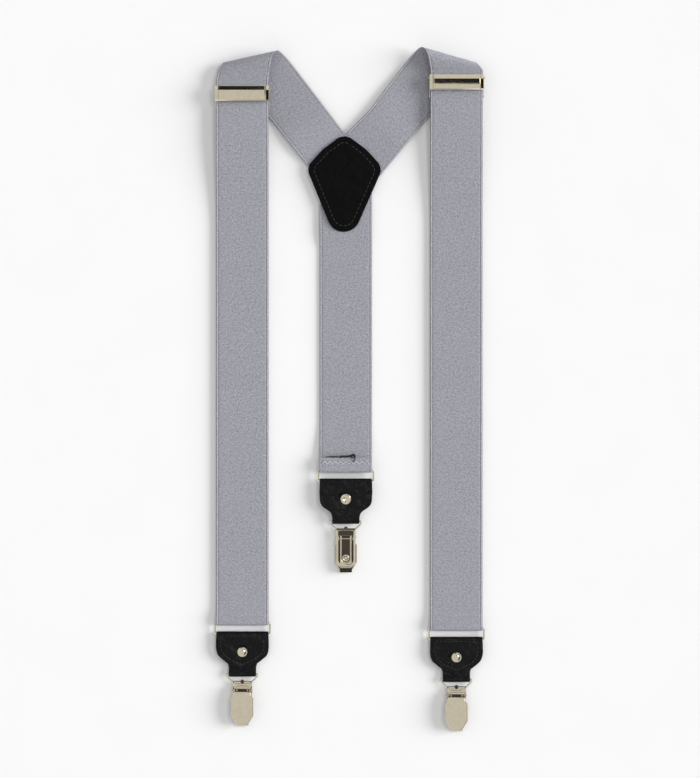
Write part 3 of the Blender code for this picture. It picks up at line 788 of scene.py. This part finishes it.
def yoke():
    """Two leather faces with pressed rims and a line of stitches round each."""
    top, bow, side, bottom = 8.5, 7.0, 8.0, 11.0
    bow_x, bow_y = 9.9, 153.6
    side_x = YOKE_HALF - side
    circles = [
        (YOKE_CENTRE_X, YOKE_TOP - top, top),
        (YOKE_CENTRE_X - bow_x, bow_y, bow),
        (YOKE_CENTRE_X - side_x, YOKE_SIDE_Y, side),
        (YOKE_CENTRE_X - 0.5, YOKE_BOTTOM + bottom, bottom),
        (YOKE_CENTRE_X + side_x, YOKE_SIDE_Y, side),
        (YOKE_CENTRE_X + bow_x, bow_y, bow),
    ]
    stitch_line = 3.9
    # (inset, height in thicknesses) from the cut edge over the pressed rim and the stitches
    face = [(0.0, 0.3), (0.08, 0.62), (0.25, 0.86), (0.55, 1.0), (1.1, 1.02), (2.6, 1.0)]
    face += [(3.3, 0.98), (3.7, 0.86), (4.1, 0.86), (4.5, 1.02), (5.4, 1.14), (7.0, 1.24)]
    outer = subdivided(round_hull(circles))
    centre = Vector((YOKE_CENTRE_X, YOKE_SIDE_Y - 6.0))

    def line_at(inset):
        return drawn_in(outer, inset, centre, closed=True)

    for node, base, up in (("front", YOKE_Z + 0.9, 1), ("back", YOKE_Z - 0.9, -1)):
        rims = [[(*p, base) for p in line_at(0.25)]]
        rims.append([(*p, base + up * 0.12) for p in line_at(0.05)])
        for inset, height in face:
            rims.append([(*p, base + up * height * LEATHER) for p in line_at(inset)])
        last = line_at(face[-1][0])
        for share, height in ((0.72, 1.3), (0.42, 1.34), (0.12, 1.35)):
            limit = height if up > 0 else 1.24
            rims.append([(*(centre + (p - centre) * share), base + up * limit * LEATHER) for p in last])
        if up < 0:
            # The face towards the surface stays flat
            rims = [[(x, y, max(z, base - LEATHER + 0.02)) for x, y, z in rim] for rim in rims]
        mesh = bmesh.new()
        skin(mesh, rims)
        made = piece(f"yoke_{node}_leather", mesh, "yoke_leather", "root", sharp=60)
        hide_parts(f"yoke_patch_{node}")

        mesh = bmesh.new()
        line = line_at(stitch_line)
        level = base + up * (0.86 * LEATHER + 0.02)
        spots = along_path([*line, line[0]], 3.1)
        if up > 0:
            sewn(mesh, spots, 0.24, 0.25, level)
        else:
            sewn(mesh, spots, 0.2, -0.1, level + 0.15)
        piece(f"yoke_{node}_stitching", mesh, "black_thread", "root")


def tab_rows(raised):
    """(half width, v, w) down the shield, round the ring, down the back and round the clip.
    The back layer's shoulders sit higher by raised."""
    shield = [(0.5, 31.2), (2.6, 30.3), (5.6, 29.1), (9.2, 27.4), (12.2, 25.4), (15.1, 22.7)]
    shield += [(16.9, 19.8), (17.6, 16.5), (17.6, 12.5), (17.4, RING_DROP + 0.4)]
    rows = [tuple(p) for p in through([(half, v, TAB_WRAP) for half, v in shield], 7)]
    rows += [(17.35, v, w) for v, w in turn((RING_DROP, 0.0), TAB_WRAP, 90, 270, 14)]
    shoulders = [(TAB_HALF, 14.0), (TAB_HALF, 19.0), (17.0, 22.0), (15.4, 24.6), (12.6, 26.6)]
    shoulders += [(10.3, 28.4), (9.3, 30.6), (NECK_HALF, 33.0)]
    back = [(17.4, 9.0, -TAB_WRAP)] + [(half, v - raised, -TAB_WRAP) for half, v in shoulders]
    rows += [tuple(p) for p in through(back, 6)]
    rows += [(NECK_HALF, v, w) for v, w in turn((CLIP_BAR, 0.0), TAB_WRAP, -90, 90, 14)]
    tail = ((33.4, 1.0), (32.4, 0.4), (31.0, 0.0), (22.0, 0.0), (12.5, 0.0))
    return rows + [(NECK_HALF, v, w) for v, w in tail]


def tab_columns(half):
    """(x, height) round a row of the tab: a rounded cut edge and a closely divided face."""
    edge = [(0.0, 0.0), (0.05, 0.24), (0.2, 0.42), (0.5, 0.53), (1.0, 0.55)]
    drawn = min(1.0, half / 1.6)
    edge = [(a * drawn, h) for a, h in edge]
    middle = [(a, 0.55) for a in spaced(edge[-1][0], 2 * half - edge[-1][0], 36)[1:-1]]
    top = edge + middle + [(2 * half - a, h) for a, h in reversed(edge)]
    top = [(a - half, h) for a, h in top]
    return top + [(a, -h) for a, h in reversed(top[1:-1])]


def shield_line(inset):
    """The open line down one side of the shield, across its tip and up the other side."""
    right = []
    for half, v, w in tab_rows(0.0):
        if w > TAB_WRAP - 0.01 and RING_DROP + 0.5 < v < TAB_FACE_END:
            right.append(Vector((half, v)))
    line = [Vector((-p.x, p.y)) for p in reversed(right)] + right
    return drawn_in(line, inset, SHIELD_CENTRE)


def pressed_in(x, v, stitched):
    """How deep a face of the tab is pressed in: broadly round the rivet, in a groove at its
    rim, in faint ripples beyond, and along the stitched line, if there is one."""
    from_rivet = math.hypot(x, v - RIVET_AT)
    depth = 0.2 * hump(from_rivet, 7.0)
    depth += 0.42 * hump(from_rivet - 3.2, 1.5)
    depth += 0.05 * math.sin(from_rivet * 1.25) * math.exp(-from_rivet / 6.0)
    if stitched:
        nearest = min((Vector((x, v)) - spot).length for spot in stitched)
        depth += 0.16 * hump(nearest, 0.45)
    return depth


def tab(name, place, body):
    """The leather strip, pressed in round the rivet and along its stitches."""
    stitched = shield_line(3.3)
    mesh = bmesh.new()
    rims = []
    rows = tab_rows(0.0 if name == "back" else FRONT_SHOULDER_RISE)
    last = len(rows) - 1
    for n, (half, v, w) in enumerate(rows):
        before, after = rows[max(n - 1, 0)], rows[min(n + 1, last)]
        heading = Vector((0, after[1] - before[1], after[2] - before[2])).normalized()
        lift = heading.cross(Vector((1, 0, 0)))
        rim = []
        for x, height in tab_columns(half):
            corner = Vector((x, v, w)) + lift * height
            outside = abs(corner.z) > abs(w) + 0.2 and abs(w) > TAB_WRAP - 0.02
            if outside and RING_DROP + 1.0 < v < TAB_FACE_END:
                corner.z -= math.copysign(pressed_in(x, v, stitched if w > 0 else None), w)
            rim.append(corner)
        rims.append(rim)
    skin(mesh, rims, place)
    made = piece(f"{name}_tab_leather", mesh, "tab_leather", body, sharp=60)
    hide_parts(f"{name}_tab")

    mesh = bmesh.new()
    level = TAB_WRAP + LEATHER / 2 - 0.1
    pitch = 2.7
    spots = along_path(stitched, pitch)
    across = along_path([spots[0], Vector((-spots[0].x, spots[0].y))], pitch)
    for line in (spots, across):
        sewn(mesh, line, 0.2, 0.22, level, place)
    piece(f"{name}_tab_stitching", mesh, "black_thread", body)


# ---- metal


def polished(node, width):
    """A CAD node's own shape with its corners rounded off, as stamping and plating leave them."""
    source = frame["nodes"][node]
    mesh = bmesh.new()
    mesh.from_mesh(source.data)
    bmesh.ops.remove_doubles(mesh, verts=mesh.verts, dist=0.002 * MM)
    bmesh.ops.dissolve_limit(mesh, angle_limit=math.radians(1.0), verts=mesh.verts, edges=mesh.edges)
    made = piece(f"{node}_finish", mesh, "nickel", source["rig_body"], STAMPED_SHARP)
    rounded = made.modifiers.new("Rounded", "BEVEL")
    rounded.width = width * MM
    rounded.segments = 3
    rounded.limit_method = "ANGLE"
    rounded.angle_limit = math.radians(28)
    # The corners are rounded before the shading is evened
    made.modifiers.move(1, 0)
    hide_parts(node)


def ring(name, place, body):
    """The wire loop, an oblong with rounded corners."""
    outline = []
    radius = 1.2
    right, bottom = RING_HALF - radius, RING_DROP - radius
    for n, corner in enumerate(((right, bottom), (-right, bottom), (-right, radius), (right, radius))):
        outline += turn(corner, radius, 90 * n, 90 * n + 90, 8)
    mesh = bmesh.new()
    tube(mesh, [(x, v, 0.0) for x, v in outline], RING_WIRE, place, closed=True, sides=20)
    made = piece(f"{name}_ring_wire", mesh, "nickel", body)
    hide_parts(f"{name}_ring")


def rivet(name, place, body):
    """A tubular rivet: a domed cap outside, and inside a flat base with its end spread."""
    face = TAB_WRAP + LEATHER / 2 - 0.1
    centre = (0.0, RIVET_AT)
    mesh = bmesh.new()
    cap = [(2.9, face - 0.12), (3.25, face), (3.35, face + 0.2), (3.2, face + 0.42)]
    cap += [(2.75, face + 0.75), (2.1, face + 1.05), (1.35, face + 1.22), (0.7, face + 1.28)]
    turned(mesh, [*cap, (0.15, face + 1.3)], centre, place, sides=48)
    made = piece(f"{name}_rivet_dome", mesh, "nickel", body, sharp=60)
    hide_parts(f"{name}_rivet_cap")

    mesh = bmesh.new()
    rims = []
    base = [(3.1, 0.0), (3.45, 0.1), (3.5, 0.28), (3.35, 0.46), (3.0, 0.54), (2.5, 0.56)]
    base += [(2.1, 0.56), (1.75, 0.52), (1.4, 0.45), (1.05, 0.35), (0.7, 0.28), (0.35, 0.24)]
    sides = 64
    for radius, rise in base:
        rim = []
        for n in range(sides):
            angle = 2 * math.pi * n / sides
            x, v = radius * math.cos(angle), radius * math.sin(angle)
            # The spread end's four splits, pressed in as a small cross
            split = 0.26 * math.exp(-((radius - 0.7) ** 2) / 0.3) * max(0.0, math.cos(4 * angle)) ** 2
            rim.append((x, v + RIVET_AT, -(face + rise - split)))
        rims.append(rim)
    skin(mesh, rims, place)
    made = piece(f"{name}_rivet_back", mesh, "nickel", body, sharp=60)
    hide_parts(f"{name}_rivet_base")


def offset(outline, inset):
    """A closed outline, either way round, moved in by inset at every corner."""
    points = [Vector(p) for p in outline]
    area = sum(a.x * b.y - b.x * a.y for a, b in zip(points, points[1:] + points[:1]))
    way = 1.0 if area > 0 else -1.0
    moved = []
    for n, here in enumerate(points):
        before = (here - points[n - 1]).normalized()
        after = (points[(n + 1) % len(points)] - here).normalized()
        normal = Vector((-before.y - after.y, before.x + after.x)).normalized()
        lean = max(0.35, normal.dot(Vector((-before.y, before.x))))
        moved.append(here + normal * (way * inset / lean))
    return moved


def stamping(mesh, outline, low, high, place, edge=0.14):
    """A flat stamped piece with rounded rims, from low to high."""
    part = edge * 0.3
    section = [(edge, low), (part, low + part), (0.0, low + edge)]
    section += [(0.0, high - edge), (part, high - part), (edge, high)]
    skin(mesh, [[(*p, level) for p in offset(outline, inset)] for inset, level in section], place)


def frame_strip(mesh, outer, inner, low, high, place, edge):
    """A flat ring between two outlines of as many corners each, with rounded rims."""
    wall = [(edge, low), (0.0, low + edge), (0.0, high - edge), (edge, high)]
    outlines = [[(*p, level) for p in offset(outer, inset)] for inset, level in wall]
    outlines += [[(*p, level) for p in offset(inner, -inset)] for inset, level in reversed(wall)]
    skin(mesh, [list(corners) for corners in zip(*outlines)], place, closed=True)


def block(mesh, x, v, w, place, edge):
    """A small block with rounded rims, between pairs of places along x, v and w."""
    outline = [(x[0], v[0]), (x[1], v[0]), (x[1], v[1]), (x[0], v[1])]
    stamping(mesh, outline, w[0], w[1], place, edge)


def rod(mesh, radius, half_length, centre, place, sides=20):
    """A pin along x through the centre (v, w), with rounded ends."""
    full = half_length - 0.2
    section = ((0.5, -half_length), (1.0, -full), (1.0, full), (0.5, half_length))
    skin(mesh, [[(x, *p) for p in circle(centre, radius * size, sides)] for size, x in section], place)


def cheeks(mesh, outline, inner, outer, place):
    """A pair of upright ears with the (v, w) outline, from inner to outer on either side."""
    for side in (-1, 1):
        levels = sorted((side * inner, side * outer))
        skin(mesh, [[(x, v, w) for v, w in outline] for x in levels], place)


def down(points):
    """Places measured down from the clip's bar."""
    return [(x, CLIP_BAR + v) for x, v in points]


def both_sides(points):
    """The outline whose half at +x is given, measured down from the clip's bar."""
    half = down(points)
    return [*half, *[(-x, v) for x, v in reversed(half)]]


def clip_frame(name, place, body):
    """The stamped back frame: neck loop, rails round an open window, ears and hinge plate."""
    mesh = bmesh.new()
    outer = both_sides([(10.3, -0.45), (10.3, 1.9), (7.0, 5.4), (6.3, 6.2)])
    mouth = both_sides([(9.5, 0.45), (9.5, 1.95), (6.1, 4.8), (5.2, 4.95)])
    frame_strip(mesh, outer, mouth, -0.4, 0.4, place, 0.2)
    rails = both_sides([(6.1, 4.7), (6.45, 5.6), (6.45, 27.2), (5.4, 29.3), (3.7, 30.5)])
    window = both_sides([(4.7, 6.1), (5.05, 6.6), (5.05, 26.4), (4.3, 27.9), (3.2, 28.6)])
    frame_strip(mesh, rails, window, -0.4, 0.4, place, 0.3)
    ear = [(CLIP_PIVOT - 2.4, 0.2), (CLIP_PIVOT + 2.4, 0.2), *turn(PIVOT, 1.1, 0, 180, 12)]
    cheeks(mesh, ear, 5.65, 6.25, place)
    made = piece(f"{name}_clip_frame_finish", mesh, "nickel", body, sharp=30)
    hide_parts(f"{name}_clip_frame")

    # The hinge plate bridges the frame in front
    mesh = bmesh.new()
    for level, low in ((0.62, 0.45), (1.15, 0.62)):
        plate = both_sides([(5.5, 5.0), (5.5, 9.7)])
        stamping(mesh, plate, low, level, place, 0.08)
    piece(f"{name}_hinge_plate", mesh, "nickel", body, sharp=30)

    # Painted shade in dark steel: a sheet behind the hinge plate, a small dome at its top and three
    # thin lines across its face, where the hinge's gaps are dark
    mesh = bmesh.new()
    block(mesh, (-5.4, 5.4), (CLIP_BAR + 5.2, CLIP_BAR + 9.6), (0.36, 0.47), place, 0.04)
    turned(mesh, [(1.3, 1.0), (1.3, 1.35), (0.9, 1.6), (0.2, 1.7)], (0.0, CLIP_BAR + 4.9), place, 24)
    for n, half in enumerate((4.9, 3.6, 4.6)):
        v = CLIP_BAR + 6.3 + n * 1.1
        block(mesh, (-half, half), (v - 0.13, v + 0.13), (1.1, 1.2), place, 0.04)
    piece(f"{name}_hinge_plate_back", mesh, "dark_steel_and_painted_shade", body, sharp=30)

    mesh = bmesh.new()
    rod(mesh, PIN_RADIUS, 6.7, PIVOT, place)
    made = piece(f"{name}_clip_pin_finish", mesh, "dark_steel_and_painted_shade", body, sharp=60)
    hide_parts(f"{name}_clip_pin")


def clip_jaw(name, place, body):
    """The inner jaw: a slotted channel on the pin, with an eyelet and a toothed grip."""
    mesh = bmesh.new()
    plate = down([(3.9, 9.9), (3.9, 30.0), (3.7, 34.1), (-3.7, 34.1), (-3.9, 30.0), (-3.9, 9.9)])
    plate += down([(-2.7, 9.9), (-2.7, 26.6), (-1.5, 27.8), (1.5, 27.8), (2.7, 26.6), (2.7, 9.9)])
    stamping(mesh, plate, 0.7, 1.4, place)
    reach, bend = 3.4, CLIP_BAR + 24.4
    rim = [(reach, CLIP_BAR + 11.2), *turn((0.0, bend), reach, 0, 180, 16), (-reach, CLIP_BAR + 11.2)]
    channel = bmesh.new()
    tube(channel, [(x, v, 0.35) for x, v in rim], 0.48, place, sides=16)
    piece(f"{name}_jaw_channel", channel, "nickel", body, sharp=60)
    lug = [(CLIP_PIVOT - 0.6, 0.9), (CLIP_PIVOT + 2.0, 0.9)]
    lug += turn(PIVOT, 0.95, 0, 180, 12)
    cheeks(mesh, lug, 3.2, 3.9, place)
    made = piece(f"{name}_clip_jaw_finish", mesh, "nickel", body, sharp=30)
    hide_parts(f"{name}_clip_jaw")

    mesh = bmesh.new()
    centre = (0.0, EYELET_AT)
    collar = [(1.4, 0.95), (1.4, 0.2), (1.55, 0.02), (1.85, -0.05), (2.2, 0.0), (2.42, 0.2), (2.4, 0.8)]
    turned(mesh, collar, centre, place, closed=True)
    turned(mesh, [(1.05, 0.85), (1.05, 0.7), (0.6, 0.62), (0.1, 0.6)], centre, place, 32)
    made = piece(f"{name}_jaw_eyelet_finish", mesh, "nickel", body, sharp=50)
    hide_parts(f"{name}_jaw_eyelet")

    mesh = bmesh.new()
    teeth, half, deep = 5, 4.0, 0.6
    low, high = CLIP_BAR + 30.85, CLIP_BAR + 34.0
    outline = [(half, high)]
    for n in range(teeth):
        here = half - 2 * half * n / teeth
        outline += [(here, low + deep), (here - half / teeth, low)]
    outline += [(-half, low + deep), (-half, high)]
    stamping(mesh, outline, -0.5, 0.62, place, 0.1)
    made = piece(f"{name}_jaw_grip_finish", mesh, "grip", body, sharp=30)
    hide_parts(f"{name}_jaw_grip")


def clip_lever(name, place, body):
    """The lever's cover: a bevelled face, a turned-down wall and its inside, painted dark as painted
    shade.
    """
    half, neck = 7.35, 5.8
    outline = both_sides([(neck, 11.4), (neck, 14.4), (half, 15.6), (half, 27.4), (3.05, 34.3)])
    # (inset, level) from inside the cover, down its wall and up over the bevelled face
    shell = [(0.65, 2.0), (0.5, 1.9), (0.15, 1.9), (0.0, 2.05), (0.0, 3.55), (0.05, 3.75)]
    shell += [(0.22, 3.97), (0.4, 4.06), (0.7, 4.1)]
    mesh = bmesh.new()
    skin(mesh, [[(*p, level) for p in offset(outline, inset)] for inset, level in shell], place)
    lug = [(CLIP_PIVOT + 4.2, PIVOT[1] + 0.2), (CLIP_PIVOT + 4.2, COVER_TOP - 0.3)]
    lug += [(CLIP_PIVOT + 1.0, COVER_TOP - 0.6), *turn(PIVOT, 1.0, 90, 270, 12)]
    cheeks(mesh, lug, 4.75, 5.4, place)
    made = piece(f"{name}_clip_lever_finish", mesh, "nickel", body, sharp=25)
    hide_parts(f"{name}_clip_lever")

    # Painted shade: the inside of the cover is lined with dark steel
    mesh = bmesh.new()
    painted_shade_outline = both_sides([(5.3, 9.75), (5.3, 14.9), (6.8, 16.1), (6.8, 27.1), (2.75, 33.8)])
    stamping(mesh, painted_shade_outline, 1.93, 2.03, place, 0.03)
    piece(f"{name}_lever_painted_shade", mesh, "dark_steel_and_painted_shade", body, sharp=30)


def strap_end(name, centre_x, ring_y, ring_z, facing):
    """A ring with what hangs from it. Places on it are (x, v, w): across, down from the
    ring's upper bar and out from its middle; facing is -1 where it lies face down."""

    def place(corner):
        x, v, w = corner
        return Vector((centre_x + facing * x, ring_y - v, ring_z + facing * w))

    parts = ((ring, "ring_link"), (tab, "tab_link"), (rivet, "tab_link"))
    parts += ((clip_frame, "clip_body"), (clip_jaw, "clip_tongue"), (clip_lever, "clip_cover"))
    for build, body in parts:
        build(name, place, f"{name}_{body}")


def adjuster(name, side):
    """The back frame, bar and pin as the CAD has them, and a cover with crisp facets."""

    def place(corner):
        x, t, z = corner
        return Vector((side["x"] + x, side["adjuster"] + t, z))

    polished(f"{name}_adjuster_frame", 0.1)
    polished(f"{name}_adjuster_bar", 0.15)
    polished(f"{name}_adjuster_pin", 0.12)

    # Up the front: lower rim, slightly crowned face, sloping facet, upper rim; then back inside
    profile = [(-5.15, 9.45), (-5.1, 9.6), (-4.4, 10.4), (-4.2, 10.49)]
    crown, crown_middle, crown_reach = 0.09, -0.9, 3.1
    for t in spaced(-3.95, 2.15, 8):
        profile.append((t, 10.62 - crown * ((t - crown_middle) / crown_reach) ** 2))
    profile += [(2.35, 10.44), (2.6, 10.3), (4.7, 8.96), (4.9, 8.86)]
    profile += [(5.15, 8.78), (5.1, 8.66), (4.9, 8.64), (4.3, 8.85), (2.2, 10.02), (-3.95, 10.02)]
    profile += [(-4.9, 9.35), (-5.05, 9.33)]
    mesh = bmesh.new()
    # (distance from the middle, drop): rounded end, end cap, pressed groove, face
    ends = ((18.05, 1.35), (17.98, 1.05), (17.75, 0.85), (16.0, 0.2), (15.8, 0.75))
    ends += ((15.5, 0.75), (15.3, 0.02), (14.9, 0.0))
    sections = [(-x, drop) for x, drop in ends] + [(x, drop) for x, drop in reversed(ends)]
    skin(mesh, [[(x, t, z - drop) for t, z in profile] for x, drop in sections], place)
    body = f"{name}_slider_cover"
    made = piece(f"{name}_adjuster_cover_finish", mesh, "cover_nickel", body, sharp=18)
    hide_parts(f"{name}_adjuster_cover")


# ---- the object

yoke()
back_strap()
tail_stitching()
tail_thread()
strap_end("back", BACK_X, BACK_STRAP_END, BACK_RING_Z, -1)
for side_name, side_places in SIDES.items():
    shoulder(side_name, side_places)
    strap_end(side_name, side_places["x"], side_places["ring"], RING_Z, 1)
    front_straps(side_name, side_places)
    adjuster(side_name, side_places)


# ---- stage, light and camera


def floor():
    """Plain pale paper, a hair below the object so that no faces coincide."""
    mesh = bmesh.new()
    bmesh.ops.create_grid(mesh, x_segments=1, y_segments=1, size=4.0)
    data = bpy.data.meshes.new("floor")
    mesh.to_mesh(data)
    mesh.free()
    gap = 0.0004
    made = in_scene("floor", data)
    made.location.z = -gap
    numbers = {"Roughness": 0.9, "Specular IOR Level": 0.1}
    paper, shader = new_material("pale_paper", numbers)
    shade = noise(object_place(shader), 0.02)
    near_white = [(0.3, (0.885, 0.885, 0.885)), (0.7, (0.895, 0.895, 0.895))]
    drive(shader, "Base Color", ramp(shade, near_white))
    data.materials.append(paper)


def in_all(*ranges):
    """1 where each range's value lies from its low to its high, and 0 elsewhere."""
    inside = 1.0
    for value, low, high in ranges:
        inside = times(inside, math_node("GREATER_THAN", value, low))
        inside = times(inside, math_node("LESS_THAN", value, high))
    return inside


def far_light(name, energy, spread, heading, mirrored):
    """A light as broad as its spread in degrees, which polished metal mirrors or doesn't."""
    light = bpy.data.lights.new(name, "SUN")
    light.energy = energy
    light.angle = math.radians(spread)
    made = in_scene(name, light)
    made.rotation_euler = Vector(heading).to_track_quat("-Z", "Y").to_euler()
    made.visible_glossy = mirrored


def studio():
    """An even pale room, a broad low key from the right and a small lamp for the leather's
    sheen. Three dark things are there for the polished metal to mirror: a black flat beyond
    the left shoulder, the camera's stand, and a screen at the right."""
    world = bpy.data.worlds.new("studio")
    bpy.context.scene.world = world
    world.use_nodes = True
    tree = world.node_tree
    background = tree.nodes["Background"]
    direction = tree.nodes.new("ShaderNodeTexCoord").outputs["Generated"]
    across, ahead, level = split_vector(direction)
    flat = in_all((ahead, 0.6, 1.1), (level, 0.04, 0.62), (across, -0.4, -0.01))
    stand = in_all((across, 0.005, 0.2), (ahead, 0.095, 0.3), (level, 0.9, 1.1))
    screen = in_all((across, 0.3, 0.8), (level, 0.6, 0.9))
    dark = math_node("MAXIMUM", math_node("MAXIMUM", flat, stand), screen)
    height = plus(times(level, 0.5), 0.5)
    room = ramp(height, [(0.5, (0.72, 0.72, 0.73)), (1.0, (0.66, 0.66, 0.66))])
    depth = 0.985
    shade = math_node("SUBTRACT", 1.0, times(dark, depth))
    drive(background, "Color", scaled(room, shade))
    background.inputs["Strength"].default_value = 1.0

    far_light("key", 3.3, 34.0, (-1.0, -0.08, -0.42), False)
    far_light("sheen", 0.42, 14.0, (-0.42, -0.22, -1.0), True)


def camera():
    """Straight down from above the object's middle, with the photograph's framing."""
    height, view_width = 1.9, 0.4667
    data = bpy.data.cameras.new("camera")
    data.sensor_fit = "HORIZONTAL"
    data.lens = data.sensor_width * height / view_width
    data.clip_end = 20.0
    made = in_scene("camera", data)
    made.location = (0.0004, 0.0003, height)
    bpy.context.scene.camera = made


floor()
studio()
camera()
bpy.context.scene.view_settings.view_transform = "Standard"
